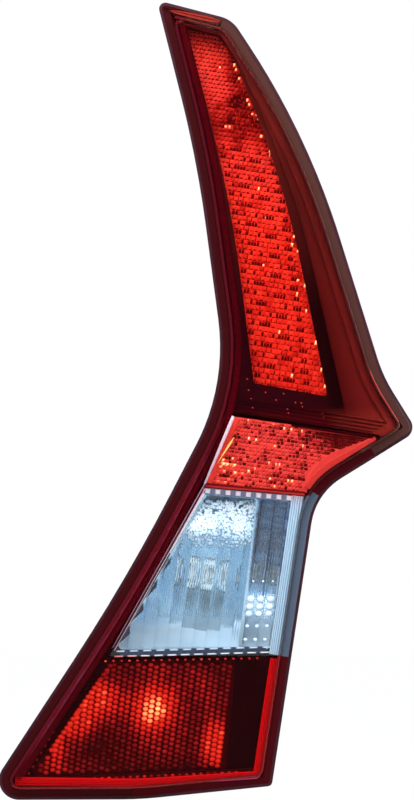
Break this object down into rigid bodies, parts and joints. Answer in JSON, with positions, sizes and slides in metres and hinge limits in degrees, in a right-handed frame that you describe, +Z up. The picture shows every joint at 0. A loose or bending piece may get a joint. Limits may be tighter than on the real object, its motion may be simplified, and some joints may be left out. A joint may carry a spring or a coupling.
{
  "type": "tail light cluster",
  "caption": "Tall right-hand tail light cluster: red wraparound lens with a clear lower window, prism panels, reflectors and bulbs in a black studded housing.",
  "frame": {"origin": "root of the middle fixing stud, level with the face that seats against the body", "axes": "+X outboard, +Y forward into the vehicle along the studs, +Z up; the lens faces -Y"},
  "size_m": [0.3522, 0.1365, 0.6797],
  "materials": {
    "red_lens": "polished, tinted through",
    "clear_lens": "polished, clear",
    "housing_plastic": "fine grain",
    "dark_trim": "satin",
    "prism_plate": "prismatic",
    "reflex_plate": "prismatic",
    "metallised": "vacuum metallised",
    "clear_optic": "moulded optics, clear",
    "carrier_plastic": "moulded",
    "seal_rubber": "moulded",
    "seal_foam": "closed-cell foam",
    "contact_metal": "pressed strip",
    "cap_brass": "plated",
    "bulb_glass": "clear",
    "amber_glass": "amber",
    "stud_steel": "zinc plated"
  },
  "bodies": {
    "root": {"lens_red": "red_lens", "lens_clear": "clear_lens", "housing": "housing_plastic", "arm_bezel": "dark_trim", "lower_bezel": "dark_trim", "tail_prism_panel": "prism_plate", "tail_reflector": "metallised", "reflex_panel": "reflex_plate", "signal_reflector": "metallised", "signal_optic": "clear_optic", "fog_reflector": "metallised", "fog_optic": "clear_optic", "bulb_carrier": "carrier_plastic", "carrier_gasket": "seal_rubber", "contact_strips": "contact_metal", "connector_shell": "carrier_plastic", "connector_blades": "contact_metal", "reverse_bulb_glass": "bulb_glass", "reverse_bulb_cap": "cap_brass", "fog_bulb_glass": "bulb_glass", "fog_bulb_cap": "cap_brass", "turn_bulb": "amber_glass", "upper_tail_bulb": "bulb_glass", "lower_tail_bulb": "bulb_glass", "turn_socket": "carrier_plastic", "upper_tail_socket": "carrier_plastic", "lower_tail_socket": "carrier_plastic", "socket_seals": "seal_rubber", "socket_terminals": "contact_metal", "body_gasket": "seal_foam", "upper_stud": "stud_steel", "middle_stud": "stud_steel", "lower_stud": "stud_steel", "vent_caps": "seal_rubber"}
  },
  "joints": []
}
